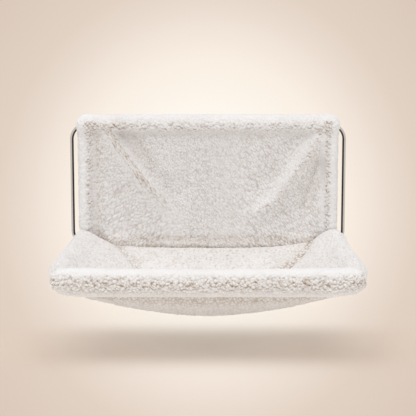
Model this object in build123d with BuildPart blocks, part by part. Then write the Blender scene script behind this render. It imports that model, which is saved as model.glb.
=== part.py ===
from build123d import *
import math
import os

os.makedirs("parts", exist_ok=True)

# A pet bed that hangs on a radiator: a wire frame, a fleece back and a fleece hammock seat that folds up.
# Millimetres. +X runs along the bed, -Y points into the room and +Z is up.
# The origin is on the radiator's top front edge, midway between the two hook arms.

# Clearances
fit_gap = 0.05              # radial, round a bolt, a screw or a wire in metal or rubber
side_play = 0.05            # between the flat faces of a turning joint
slide_gap = 0.15            # above and below a hook in its arm
slide_side_gap = 0.2        # on each side of a hook in its arm
soft_gap = 0.3              # between padding and what it meets
cut_over = 1.0              # how far a cutting body runs past what it cuts

# Round wire of both frames
wire_dia = 6.0

# Back frame
upright_spacing = 450.0     # between the uprights' centre lines
frame_height = 204.0        # from the top bar's centre line to the lower bar's
frame_bend = 25.0           # bend radius of the wire's centre line
frame_standoff = 12.0       # centre line of the wire in front of the radiator

# Seat frame
seat_depth = 295.0          # from the back frame's plane to the front bar's centre line
front_width = 456.0         # between the rails' centre lines at the front bar
front_bend = 30.0           # bend radius at the front corners
splay_bend = 60.0           # bend radius where the rails spread apart
rear_straight = 18.0        # straight wire in front of the flattened end
front_straight = 67.0       # straight wire behind the front bar
paddle_thickness = 2.6      # the wire's flattened end
paddle_height = 13.0
paddle_length = 16.0        # from the pivot to where the flattening starts to end
paddle_taper = 10.0         # from the flattened section back to round wire
paddle_corner = 1.1

# Pivot brackets
bracket_inset = 15.5        # outer face of the bracket inside the upright's centre line
bracket_thickness = 2.5
bracket_eye = 8.0           # plate round the lower bar and round the pivot, as a radius
pivot_reach = 22.0          # pivot in front of the back frame's plane
pivot_rise = 8.0            # pivot above the lower bar
stop_start = 7.0            # stop tab, from the pivot forwards
stop_length = 8.0
stop_width = 4.5            # stop tab, out from the bracket's face
stop_nose = 3.0             # rounding of the plate round the stop tab

# Pivot bolts, washers and lock nuts
bolt_dia = 5.0
bolt_head_dia = 9.5
bolt_head_height = 3.4
bolt_socket = 3.0           # hexagon socket, across flats
bolt_socket_depth = 1.8
bolt_spare = 1.0            # bolt past its nut
washer_thickness = 0.8
washer_dia = 12.0
nut_flats = 8.0
nut_height = 4.0
nut_collar_dia = 7.0        # round collar of the lock nut
nut_collar_height = 1.0

# Hook arms: flat tubes under the top bar
arm_spacing = 260.0         # between the two arms' centre lines
arm_width = 20.0
arm_wall = 1.5
hook_thickness = 3.0        # flat bar of the hook
arm_front = 8.0             # arm in front of the top bar's centre line
arm_rear = 54.0             # arm behind the radiator's front face
saddle_length = 9.0         # welded saddle between arm and top bar
saddle_height = 2.0
boss_dia = 12.0             # threaded boss of the clamp screw
boss_height = 2.5
screw_y = 42.0              # clamp screw behind the radiator's front face
screw_dia = 5.0
screw_head_dia = 14.0
screw_head_height = 5.0
screw_head_gap = 0.5        # clamp screw's head above its boss
screw_collar_dia = 9.0      # plain collar under the knurled head
screw_collar_height = 1.0
knurl_dia = 1.6
knurl_count = 16
pad_thickness = 2.0
pad_start = 4.0             # rubber pad behind the radiator's front face
pad_length = 46.0
pad_inset = 1.0             # pad inside the arm's edges

# Hooks
radiator_thickness = 85.0   # where the hooks stand at rest
hook_front = 9.0            # front end of the hook behind the radiator's front face
hook_drop = 45.0            # hook's end below the radiator's top edge
hook_bend = 3.0             # inner bend radius
tip_wall = 2.0              # rubber cap round the hook's end
tip_height = 28.0
tip_round = 1.5

# Bumpers on the lower bar
bumper_spacing = 300.0      # between the two bumpers' centres
bumper_width = 20.0
bumper_radius = 9.0
bumper_round = 1.5

# Cover of the back
top_roll_radius = 17.0
top_roll_overhang = 1.0     # top roll past the side hems' outer edges
cover_thickness = 4.0       # fleece over the foam of a roll
lower_hem_radius = 8.0
lower_hem_gap = 3.0         # lower hem's ends inside the bolts' inner ends
side_hem_radius = 11.0
side_hem_reach = 10.0       # side hem's outer edge inside the upright's centre line
side_hem_foot = 12.0        # side hem's lower end above the pivot
panel_thickness = 12.0
fold_rise = 5.0             # how far the drape folds stand out of the back panel
fold_half_width = 26.0
fold_edge = 5.0             # flat strip kept between a fold and the panel's edge
panel_sag = 2.0             # hollow of the back panel between its folds
flap_height = 30.0          # flap that closes the top roll behind the panel
flap_length = 360.0
flap_thickness = 2.0
flap_corner = 12.0
tape_thickness = 1.2
tape_length = 70.0
tape_height = 16.0
tape_spacing = 130.0
tape_rise = 4.0             # tape above the flap's lower edge

# Cover of the seat
front_roll_radius = 22.5
front_roll_overhang = 12.0  # front roll past the rails' centre lines
sleeve_radius = 18.0
sleeve_start = 30.0         # sleeve's rear end in front of the pivot
sleeve_end = 35.0           # centre of the sleeve's round end behind the front bar
sling_thickness = 13.0      # in the middle of the hammock
sling_depth = 87.0          # lowest point of the hammock below the rails
sling_tuck = 8.0            # sling's underside starts this far inside the rails, under the sleeves
wing_start = 14.0           # wings start this far inside the rails, on top of the sleeves
wing_rise = 11.0            # and this high above the rails
wing_swell = 4.0            # bulge of the wings above a straight line
hollow_round = 3.0          # rise of the hollow's floor at the foot of the wings
front_tuck = 7.0            # sling's front edge behind the front bar, under the roll

# Shares of the sizes above, chosen by hand
fold_height_shares = (1.0, 0.68, 0.34, 0.0)           # of the panel's height, from its top down
left_fold_shares = (-0.83, -0.60, -0.38, -0.24)       # of the panel's half width
right_fold_shares = (0.90, 0.67, 0.48, 0.30)
fold_rise_shares = (0.9, 1.0, 0.8, 0.4)               # of fold_rise
sling_place_shares = (0.0, 0.22, 0.50, 0.78, 1.0)     # of the sling's length, from the rear
sling_depth_shares = (0.26, 0.71, 0.99, 0.79, 0.36)   # of sling_depth
sling_side_share = 0.78     # of the half width, on the way down each side
sling_side_drop_shares = (0.40, 0.40, 0.40, 0.47, 0.48)
sling_turn_share = 0.50     # of the half width, where each side turns into the bottom
sling_turn_drop_shares = (0.75, 0.75, 0.77, 0.83, 0.83)
hollow_shares = (0.68, 0.46, 0.40, 0.51, 0.74)        # hollow's floor, of the half width

# Heights and places that follow
wire_r = wire_dia / 2
arm_inside = hook_thickness + 2 * slide_gap
arm_height = arm_inside + 2 * arm_wall
arm_base = pad_thickness
arm_top = arm_base + arm_height
top_z = arm_top + wire_r
low_z = top_z - frame_height
frame_y = -frame_standoff
upright_x = upright_spacing / 2
pivot_y = frame_y - pivot_reach
pivot_z = low_z + pivot_rise
front_y = frame_y - seat_depth
front_x = front_width / 2
bracket_out = upright_x - bracket_inset
bracket_in = bracket_out - bracket_thickness
paddle_in = bracket_out + washer_thickness + side_play
paddle_out = paddle_in + paddle_thickness
rail_x = (paddle_in + paddle_out) / 2
rail_start_y = pivot_y - paddle_length - paddle_taper
splay_start_y = rail_start_y - rear_straight
splay_end_y = front_y + front_straight
arm_x = arm_spacing / 2
bumper_x = bumper_spacing / 2
side_hem_x = upright_x - side_hem_reach - side_hem_radius
panel_half = side_hem_x - side_hem_radius - soft_gap
top_roll_length = 2 * (side_hem_x + side_hem_radius + top_roll_overhang)
front_roll_length = 2 * (front_x + front_roll_overhang)

frame_plane = Plane.XZ.offset(frame_standoff)
rail_plane = Plane.XY.offset(pivot_z)
frame_points = ((0, top_z), (upright_x, top_z), (upright_x, low_z), (0, low_z))
rail_points = (
    (rail_x, rail_start_y),
    (rail_x, splay_start_y),
    (front_x, splay_end_y),
    (front_x, front_y),
    (0, front_y),
)
rail_bends = (splay_bend, splay_bend, front_bend)


def half_wire(points, bends, plane, radius):
    """The right half of a bent wire: a circle swept along straight runs and tangent bends."""
    with BuildPart() as half:
        with BuildLine(plane) as path:
            FilletPolyline(*points, radius=bends)
        with BuildSketch(Plane(path.line @ 0, z_dir=path.line % 0)):
            Circle(radius)
        sweep()
    return half.part


def bent_wire(points, bends, plane, radius):
    """A whole bent wire, the same on both sides of the bed's middle."""
    with BuildPart() as wire:
        add(half_wire(points, bends, plane, radius))
        mirror(about=Plane.YZ)
    return wire.part


def roll(radius, length, y, z):
    """A round roll along X with domed ends."""
    flat = length / 2 - radius
    lean = radius * math.sqrt(2) / 2
    with BuildPart() as body:
        with BuildSketch(Plane((0, y, z), x_dir=(1, 0, 0), z_dir=(0, -1, 0))):
            with BuildLine():
                Line((-flat - radius, 0), (flat + radius, 0))
                ThreePointArc((flat + radius, 0), (flat + lean, lean), (flat, radius))
                Line((flat, radius), (-flat, radius))
                ThreePointArc((-flat, radius), (-flat - lean, lean), (-flat - radius, 0))
            make_face()
        revolve(axis=Axis((0, y, z), (1, 0, 0)))
    return body.part


def rail_tube(radius):
    """A tube's outer shape round the right rail, with a round front end."""
    with BuildPart() as tube:
        with BuildLine(rail_plane) as path:
            FilletPolyline(
                (rail_x, pivot_y - sleeve_start),
                (rail_x, splay_start_y),
                (front_x, splay_end_y),
                (front_x, front_y + sleeve_end),
                radius=(splay_bend, splay_bend),
            )
        with BuildSketch(Plane(path.line @ 0, z_dir=path.line % 0)):
            Circle(radius)
        sweep()
        with Locations((front_x, front_y + sleeve_end, pivot_z)):
            Sphere(radius)
    return tube.part


# Room for the wires in whatever goes round them
frame_room = bent_wire(frame_points, frame_bend, frame_plane, wire_r + soft_gap)
frame_fit = bent_wire(frame_points, frame_bend, frame_plane, wire_r + fit_gap)
rail_room = bent_wire(rail_points, rail_bends, rail_plane, wire_r + soft_gap)

# Back frame: one wire bent into a loop and butt welded
with BuildPart() as back_frame:
    add(bent_wire(frame_points, frame_bend, frame_plane, wire_r))

# Seat frame: a wire U whose rear ends are flattened and drilled for the pivot bolts
with BuildPart() as seat_frame:
    add(half_wire(rail_points, rail_bends, rail_plane, wire_r))
    with BuildSketch(Plane((rail_x, rail_start_y, pivot_z), x_dir=(1, 0, 0), z_dir=(0, -1, 0))):
        Circle(wire_r)
    with BuildSketch(Plane((rail_x, pivot_y - paddle_length, pivot_z), x_dir=(1, 0, 0), z_dir=(0, -1, 0))):
        RectangleRounded(paddle_thickness, paddle_height, paddle_corner)
    loft()
    with BuildSketch(Plane.YZ.offset(paddle_in)):
        with Locations((pivot_y, pivot_z)):
            Circle(paddle_height / 2)
        with Locations((pivot_y - paddle_length / 2, pivot_z)):
            Rectangle(paddle_length, paddle_height)
    extrude(amount=paddle_thickness)
    with BuildSketch(Plane.YZ.offset(paddle_in - cut_over)):
        with Locations((pivot_y, pivot_z)):
            Circle(bolt_dia / 2 + fit_gap)
    extrude(amount=paddle_thickness + 2 * cut_over, mode=Mode.SUBTRACT)
    mirror(about=Plane.YZ)

# Bracket: a plate slid over the lower bar's bend and welded, with a tab that stops the seat
stop_top = pivot_z - paddle_height / 2
with BuildPart() as right_bracket:
    with BuildSketch(Plane.YZ.offset(bracket_in)):
        with Locations((frame_y, low_z)):
            Circle(bracket_eye)
        with Locations((pivot_y, pivot_z)):
            Circle(bracket_eye)
        with Locations((pivot_y - stop_start - stop_length, stop_top)):
            Circle(stop_nose)
        make_hull()
    extrude(amount=bracket_thickness)
    with BuildSketch(Plane.YZ.offset(bracket_out - bracket_thickness / 2)):
        with Locations((pivot_y - stop_start, stop_top)):
            Rectangle(stop_length, bracket_thickness, align=(Align.MAX, Align.MAX))
    extrude(amount=bracket_thickness / 2 + stop_width)
    with BuildSketch(Plane.YZ.offset(bracket_in - cut_over)):
        with Locations((pivot_y, pivot_z)):
            Circle(bolt_dia / 2 + fit_gap)
    extrude(amount=bracket_thickness + 2 * cut_over, mode=Mode.SUBTRACT)
    add(frame_fit, mode=Mode.SUBTRACT)

# Pivot bolts: button heads outside, lock nuts inside, a washer between bracket and rail
head_in = paddle_out + side_play
nut_in = bracket_in - nut_height - nut_collar_height
with BuildPart() as pivot_bolts:
    with BuildSketch(Plane.YZ.offset(nut_in - bolt_spare)):
        with Locations((pivot_y, pivot_z)):
            Circle(bolt_dia / 2)
    extrude(amount=head_in - nut_in + bolt_spare)
    with BuildSketch(Plane.YZ.offset(head_in)):
        with Locations((pivot_y, pivot_z)):
            Circle(bolt_head_dia / 2)
    extrude(amount=bolt_head_height)
    fillet(edges().filter_by(GeomType.CIRCLE).sort_by(Axis.X)[-1], bolt_head_height / 2)
    with BuildSketch(Plane.YZ.offset(head_in + bolt_head_height)):
        with Locations((pivot_y, pivot_z)):
            RegularPolygon(bolt_socket / 2, 6, major_radius=False)
    extrude(amount=-bolt_socket_depth, mode=Mode.SUBTRACT)
    mirror(about=Plane.YZ)

with BuildPart() as pivot_washers:
    with BuildSketch(Plane.YZ.offset(bracket_out)):
        with Locations((pivot_y, pivot_z)):
            Circle(washer_dia / 2)
            Circle(bolt_dia / 2 + fit_gap, mode=Mode.SUBTRACT)
    extrude(amount=washer_thickness)
    mirror(about=Plane.YZ)

with BuildPart() as pivot_nuts:
    with BuildSketch(Plane.YZ.offset(bracket_in)):
        with Locations((pivot_y, pivot_z)):
            RegularPolygon(nut_flats / 2, 6, major_radius=False)
    extrude(amount=-nut_height)
    with BuildSketch(Plane.YZ.offset(bracket_in - nut_height)):
        with Locations((pivot_y, pivot_z)):
            Circle(nut_collar_dia / 2)
    extrude(amount=-nut_collar_height)
    with BuildSketch(Plane.YZ.offset(bracket_in)):
        with Locations((pivot_y, pivot_z)):
            Circle(bolt_dia / 2 + fit_gap)
    extrude(amount=-nut_height - nut_collar_height, mode=Mode.SUBTRACT)
    mirror(about=Plane.YZ)

# Hook arm: a flat tube with a saddle under the top bar and a boss for the clamp screw
arm_length = arm_front + frame_standoff + arm_rear
arm_front_y = frame_y - arm_front
with BuildPart() as right_hook_arm:
    with BuildSketch(Plane.XZ.offset(-arm_front_y)):
        with Locations((arm_x, arm_base + arm_height / 2)):
            RectangleRounded(arm_width, arm_height, arm_wall)
            Rectangle(arm_width - 2 * arm_wall, arm_inside, mode=Mode.SUBTRACT)
    extrude(amount=-arm_length)
    with BuildSketch(Plane.XY.offset(arm_top - arm_wall / 2)):
        with Locations((arm_x, frame_y)):
            Rectangle(arm_width - 2 * arm_wall, saddle_length)
    extrude(amount=arm_wall / 2 + saddle_height)
    with BuildSketch(Plane.XY.offset(arm_top - arm_wall / 2)):
        with Locations((arm_x, screw_y)):
            Circle(boss_dia / 2)
    extrude(amount=arm_wall / 2 + boss_height)
    with BuildSketch(Plane.XY.offset(arm_top + boss_height)):
        with Locations((arm_x, screw_y)):
            Circle(screw_dia / 2 + fit_gap)
    extrude(amount=-boss_height - arm_wall - slide_gap, mode=Mode.SUBTRACT)
    add(frame_fit, mode=Mode.SUBTRACT)

with BuildPart() as right_arm_pad:
    with BuildSketch(Plane.XY):
        with Locations((arm_x, pad_start + pad_length / 2)):
            RectangleRounded(arm_width - 2 * pad_inset, pad_length, pad_inset)
    extrude(amount=pad_thickness)

# Clamp screw: a stud that presses on the hook, with a knurled head
screw_foot = arm_base + arm_wall + slide_gap + hook_thickness + side_play
screw_head_base = arm_top + boss_height + screw_head_gap
with BuildPart() as right_clamp_screw:
    with BuildSketch(Plane.XY.offset(screw_foot)):
        with Locations((arm_x, screw_y)):
            Circle(screw_dia / 2)
    extrude(amount=screw_head_base - screw_foot)
    with BuildSketch(Plane.XY.offset(screw_head_base)):
        with Locations((arm_x, screw_y)):
            Circle(screw_collar_dia / 2)
    extrude(amount=screw_collar_height)
    with BuildSketch(Plane.XY.offset(screw_head_base + screw_collar_height)):
        with Locations((arm_x, screw_y)):
            Circle(screw_head_dia / 2)
            with PolarLocations(screw_head_dia / 2, knurl_count):
                Circle(knurl_dia / 2, mode=Mode.SUBTRACT)
    extrude(amount=screw_head_height - screw_collar_height)

# Hook: a flat bar that slides in the arm and turns down behind the radiator
hook_base = arm_base + arm_wall + slide_gap
hook_top = hook_base + hook_thickness
leg_front = radiator_thickness + tip_wall
leg_rear = leg_front + hook_thickness
hook_width = arm_width - 2 * arm_wall - 2 * slide_side_gap
with BuildPart() as right_hook:
    with BuildSketch(Plane.YZ.offset(arm_x - hook_width / 2)):
        with BuildLine():
            Polyline(
                (leg_front - hook_bend, hook_base),
                (hook_front, hook_base),
                (hook_front, hook_top),
                (leg_front - hook_bend, hook_top),
            )
            RadiusArc(
                (leg_front - hook_bend, hook_top),
                (leg_rear, hook_base - hook_bend),
                hook_bend + hook_thickness,
            )
            Polyline(
                (leg_rear, hook_base - hook_bend),
                (leg_rear, -hook_drop),
                (leg_front, -hook_drop),
                (leg_front, hook_base - hook_bend),
            )
            RadiusArc(
                (leg_front, hook_base - hook_bend), (leg_front - hook_bend, hook_base), -hook_bend
            )
        make_face()
    extrude(amount=hook_width)

with BuildPart() as right_hook_tip:
    with BuildSketch(Plane.XY.offset(-hook_drop - tip_wall)):
        with Locations((arm_x, (leg_front + leg_rear) / 2)):
            RectangleRounded(hook_width + 2 * tip_wall, hook_thickness + 2 * tip_wall, tip_round)
    extrude(amount=tip_height)
    fillet(faces().sort_by(Axis.Z)[0].edges(), tip_round)
    add(right_hook.part, mode=Mode.SUBTRACT)

# Bumper: a rubber block pushed over the lower bar, flat where it leans on the radiator
with BuildPart() as right_bumper:
    with BuildSketch(Plane.YZ.offset(bumper_x - bumper_width / 2)):
        with Locations((frame_y, low_z)):
            Circle(bumper_radius)
            Rectangle(frame_standoff, 2 * bumper_radius, align=(Align.MIN, Align.CENTER))
    extrude(amount=bumper_width)
    fillet(faces().sort_by(Axis.Y)[-1].edges(), bumper_round)
    add(frame_fit, mode=Mode.SUBTRACT)

# Top roll: fleece over a foam tube, slit at the rear where the hook arms leave it
core_radius = top_roll_radius - cover_thickness
with BuildPart() as arm_slits:
    with BuildSketch(Plane.XY.offset(arm_base - soft_gap)):
        with Locations((arm_x, frame_y), (-arm_x, frame_y)):
            Rectangle(
                arm_width + 2 * soft_gap,
                arm_front + soft_gap,
                align=(Align.CENTER, Align.MAX),
            )
            Rectangle(
                arm_width + 2 * soft_gap,
                top_roll_radius + cut_over,
                align=(Align.CENTER, Align.MIN),
            )
    extrude(amount=arm_height + saddle_height + 2 * soft_gap)

with BuildPart() as top_roll_cover:
    add(roll(top_roll_radius, top_roll_length, frame_y, top_z))
    add(
        roll(core_radius, top_roll_length - 2 * cover_thickness, frame_y, top_z),
        mode=Mode.SUBTRACT,
    )
    add(frame_room, mode=Mode.SUBTRACT)
    add(arm_slits.part, mode=Mode.SUBTRACT)

with BuildPart() as top_roll_core:
    add(
        roll(
            core_radius - soft_gap,
            top_roll_length - 2 * cover_thickness - 2 * soft_gap,
            frame_y,
            top_z,
        )
    )
    add(frame_room, mode=Mode.SUBTRACT)
    add(arm_slits.part, mode=Mode.SUBTRACT)

# Lower hem: the sleeve round the lower bar, cut away for the bumpers
lower_hem_length = 2 * (nut_in - bolt_spare - lower_hem_gap)
with BuildPart() as lower_hem:
    add(roll(lower_hem_radius, lower_hem_length, frame_y, low_z))
    add(frame_room, mode=Mode.SUBTRACT)
    with Locations((bumper_x, frame_y, low_z), (-bumper_x, frame_y, low_z)):
        Box(
            bumper_width + 2 * soft_gap,
            2 * lower_hem_radius + cut_over,
            2 * lower_hem_radius + cut_over,
            mode=Mode.SUBTRACT,
        )

# Room for the rolls in the soft pieces that meet them
top_roll_room = roll(
    top_roll_radius + soft_gap, top_roll_length + 2 * soft_gap, frame_y, top_z
)
lower_hem_room = roll(
    lower_hem_radius + soft_gap, lower_hem_length + 2 * soft_gap, frame_y, low_z
)
front_roll_room = roll(
    front_roll_radius + soft_gap, front_roll_length + 2 * soft_gap, front_y, pivot_z
)

# Padded side hems of the back panel, inside the uprights
side_hem_base = pivot_z + side_hem_foot
with BuildPart() as right_side_hem:
    with BuildSketch(Plane.XY.offset(side_hem_base)):
        with Locations((side_hem_x, frame_y)):
            Circle(side_hem_radius)
    extrude(amount=top_z - side_hem_base)
    fillet(edges().sort_by(Axis.Z)[0], side_hem_radius / 2)
    add(top_roll_room, mode=Mode.SUBTRACT)
    add(frame_room, mode=Mode.SUBTRACT)

# Back panel: flat behind, with two diagonal drape folds in front
panel_rear = frame_y + panel_thickness / 2
panel_front = frame_y - panel_thickness / 2
with BuildPart() as back_panel:
    for height, left, right, rise in zip(
        fold_height_shares, left_fold_shares, right_fold_shares, fold_rise_shares
    ):
        crest = panel_front - fold_rise * rise
        left_x = left * panel_half
        right_x = right * panel_half
        left_end = max(left_x - fold_half_width, fold_edge - panel_half)
        right_end = min(right_x + fold_half_width, panel_half - fold_edge)
        with BuildSketch(Plane.XY.offset(low_z + height * frame_height)):
            with BuildLine():
                Polyline(
                    (left_end, panel_front),
                    (-panel_half, panel_front),
                    (-panel_half, panel_rear),
                    (panel_half, panel_rear),
                    (panel_half, panel_front),
                    (right_end, panel_front),
                )
                ThreePointArc(
                    (left_end, panel_front),
                    (left_x, crest),
                    (left_x + fold_half_width, panel_front),
                )
                ThreePointArc(
                    (left_x + fold_half_width, panel_front),
                    ((left_x + right_x) / 2, panel_front + panel_sag),
                    (right_x - fold_half_width, panel_front),
                )
                ThreePointArc(
                    (right_x - fold_half_width, panel_front),
                    (right_x, crest),
                    (right_end, panel_front),
                )
            make_face()
    loft()
    add(top_roll_room, mode=Mode.SUBTRACT)
    add(lower_hem_room, mode=Mode.SUBTRACT)
    add(frame_room, mode=Mode.SUBTRACT)
    with Locations((bumper_x, frame_y, low_z), (-bumper_x, frame_y, low_z)):
        Box(
            bumper_width + 2 * soft_gap,
            2 * frame_standoff + cut_over,
            2 * (bumper_radius + soft_gap),
            mode=Mode.SUBTRACT,
        )

# Closure behind the panel: hook-and-loop tapes and the top roll's flap over them
flap_base = top_z - top_roll_radius - flap_height
with BuildPart() as closure_tapes:
    with BuildSketch(Plane.XZ.offset(-panel_rear)):
        with GridLocations(tape_spacing, 0, 3, 1):
            with Locations((0, flap_base + tape_rise + tape_height / 2)):
                Rectangle(tape_length, tape_height)
    extrude(amount=-tape_thickness)

with BuildPart() as closure_flap:
    with BuildSketch(Plane.XZ.offset(-panel_rear - tape_thickness)):
        with Locations((0, flap_base)):
            Rectangle(
                flap_length, flap_height + top_roll_radius, align=(Align.CENTER, Align.MIN)
            )
        fillet(vertices().group_by(Axis.Z)[0], flap_corner)
    extrude(amount=-flap_thickness)
    add(top_roll_room, mode=Mode.SUBTRACT)

# Front roll: thick fleece over a foam tube round the front bar
front_core_radius = front_roll_radius - cover_thickness
with BuildPart() as front_roll_cover:
    add(roll(front_roll_radius, front_roll_length, front_y, pivot_z))
    add(
        roll(front_core_radius, front_roll_length - 2 * cover_thickness, front_y, pivot_z),
        mode=Mode.SUBTRACT,
    )
    add(rail_room, mode=Mode.SUBTRACT)

with BuildPart() as front_roll_core:
    add(
        roll(
            front_core_radius - soft_gap,
            front_roll_length - 2 * cover_thickness - 2 * soft_gap,
            front_y,
            pivot_z,
        )
    )
    add(rail_room, mode=Mode.SUBTRACT)

# Rail sleeves: padded fleece round the side rails, up to the front roll
with BuildPart() as right_rail_sleeve:
    add(rail_tube(sleeve_radius))
    add(front_roll_room, mode=Mode.SUBTRACT)
    add(rail_room, mode=Mode.SUBTRACT)

# Sling: a hammock hung from the sleeves, the front roll and the lower hem
right_sleeve_room = rail_tube(sleeve_radius + soft_gap)
sling_rear = frame_y - lower_hem_radius - soft_gap
sling_front = front_y + front_tuck
wing_z = pivot_z + wing_rise


def rail_at(y):
    """Distance of the rail's centre line from the middle of the bed at a given y."""
    share = (splay_start_y - y) / (splay_start_y - splay_end_y)
    return rail_x + (front_x - rail_x) * min(max(share, 0), 1)


def sling_sections():
    """Place, half width and depth of each section along the sling, from the rear."""
    for place, share in zip(sling_place_shares, sling_depth_shares):
        y = sling_rear + (sling_front - sling_rear) * place
        yield y, rail_at(y), sling_depth * share


# The hammock's outer shape, from the sleeves down
with BuildPart() as hammock:
    for (y, half, deep), side_drop, turn_drop in zip(
        sling_sections(), sling_side_drop_shares, sling_turn_drop_shares
    ):
        edge_z = pivot_z - sleeve_radius
        fall = deep - sleeve_radius
        edge_x = half - sling_tuck
        side = (half * sling_side_share, edge_z - fall * side_drop)
        turn = (half * sling_turn_share, edge_z - fall * turn_drop)
        with BuildSketch(Plane.XZ.offset(-y)):
            with BuildLine():
                Polyline(
                    (edge_x, edge_z),
                    (edge_x, wing_z + cut_over),
                    (-edge_x, wing_z + cut_over),
                    (-edge_x, edge_z),
                )
                ThreePointArc((edge_x, edge_z), side, turn)
                ThreePointArc(turn, (0, pivot_z - deep), (-turn[0], turn[1]))
                ThreePointArc((-turn[0], turn[1]), (-side[0], side[1]), (-edge_x, edge_z))
            make_face()
    loft()

# Its hollow: the wings slope from the sleeves down to a softly rounded floor
with BuildPart() as hollow:
    for (y, half, deep), floor_share in zip(sling_sections(), hollow_shares):
        floor_z = pivot_z - deep + sling_thickness
        foot = (half * floor_share, floor_z + hollow_round)
        head = (half - wing_start, wing_z)
        swell = ((foot[0] + head[0]) / 2, (foot[1] + head[1]) / 2 + wing_swell)
        over_x = half + cut_over
        with BuildSketch(Plane.XZ.offset(-y)):
            with BuildLine():
                Polyline(
                    head,
                    (over_x, wing_z),
                    (over_x, wing_z + 2 * cut_over),
                    (-over_x, wing_z + 2 * cut_over),
                    (-over_x, wing_z),
                    (-head[0], head[1]),
                )
                ThreePointArc(head, swell, foot)
                ThreePointArc(foot, (0, floor_z), (-foot[0], foot[1]))
                ThreePointArc((-foot[0], foot[1]), (-swell[0], swell[1]), (-head[0], head[1]))
            make_face()
    loft()

# Room beside the sling: for the sleeves, the pivots and the bumpers
corner_x = nut_in - bolt_spare - soft_gap
with BuildPart() as sling_side_room:
    add(right_sleeve_room)
    with BuildSketch(Plane.XY.offset(pivot_z + sleeve_radius)):
        with Locations((corner_x, 0)):
            Rectangle(
                upright_x - corner_x,
                sleeve_start - pivot_y,
                align=(Align.MIN, Align.MAX),
            )
    extrude(amount=-sling_depth)
    with Locations((bumper_x, frame_y, low_z)):
        Box(
            bumper_width + 2 * soft_gap,
            2 * (bumper_radius + soft_gap),
            2 * (bumper_radius + soft_gap),
        )
    mirror(about=Plane.YZ)

# Room behind the pivots: the wings' rear corners swing past the panel and the lower hem
fold_room_radius = (pivot_reach**2 + (pivot_z - low_z) ** 2) ** 0.5 - lower_hem_radius - soft_gap
with BuildPart() as fold_room:
    with Locations((0, pivot_y, pivot_z)):
        Box(
            2 * upright_x,
            pivot_reach,
            sleeve_radius,
            align=(Align.CENTER, Align.MIN, Align.MIN),
        )
        Cylinder(fold_room_radius, 2 * upright_x, rotation=(0, 90, 0), mode=Mode.SUBTRACT)

with BuildPart() as seat_sling:
    add(hammock.part)
    add(hollow.part, mode=Mode.SUBTRACT)
    add(front_roll_room, mode=Mode.SUBTRACT)
    add(lower_hem_room, mode=Mode.SUBTRACT)
    add(sling_side_room.part, mode=Mode.SUBTRACT)
    add(fold_room.part, mode=Mode.SUBTRACT)

# The left pieces are the right ones in a mirror
with BuildPart() as left_bracket:
    mirror(right_bracket.part, about=Plane.YZ)
with BuildPart() as left_hook_arm:
    mirror(right_hook_arm.part, about=Plane.YZ)
with BuildPart() as left_arm_pad:
    mirror(right_arm_pad.part, about=Plane.YZ)
with BuildPart() as left_clamp_screw:
    mirror(right_clamp_screw.part, about=Plane.YZ)
with BuildPart() as left_hook:
    mirror(right_hook.part, about=Plane.YZ)
with BuildPart() as left_hook_tip:
    mirror(right_hook_tip.part, about=Plane.YZ)
with BuildPart() as left_bumper:
    mirror(right_bumper.part, about=Plane.YZ)
with BuildPart() as left_side_hem:
    mirror(right_side_hem.part, about=Plane.YZ)
with BuildPart() as left_rail_sleeve:
    mirror(right_rail_sleeve.part, about=Plane.YZ)

pieces = {
    "back_frame": back_frame,
    "seat_frame": seat_frame,
    "left_bracket": left_bracket,
    "right_bracket": right_bracket,
    "pivot_bolts": pivot_bolts,
    "pivot_washers": pivot_washers,
    "pivot_nuts": pivot_nuts,
    "left_hook_arm": left_hook_arm,
    "right_hook_arm": right_hook_arm,
    "left_arm_pad": left_arm_pad,
    "right_arm_pad": right_arm_pad,
    "left_clamp_screw": left_clamp_screw,
    "right_clamp_screw": right_clamp_screw,
    "left_hook": left_hook,
    "right_hook": right_hook,
    "left_hook_tip": left_hook_tip,
    "right_hook_tip": right_hook_tip,
    "left_bumper": left_bumper,
    "right_bumper": right_bumper,
    "top_roll_cover": top_roll_cover,
    "top_roll_core": top_roll_core,
    "lower_hem": lower_hem,
    "left_side_hem": left_side_hem,
    "right_side_hem": right_side_hem,
    "back_panel": back_panel,
    "closure_tapes": closure_tapes,
    "closure_flap": closure_flap,
    "front_roll_cover": front_roll_cover,
    "front_roll_core": front_roll_core,
    "left_rail_sleeve": left_rail_sleeve,
    "right_rail_sleeve": right_rail_sleeve,
    "seat_sling": seat_sling,
}
for name, piece in pieces.items():
    piece.part.label = name
    export_step(piece.part, f"parts/{name}.step")
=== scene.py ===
import itertools
import math

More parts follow.
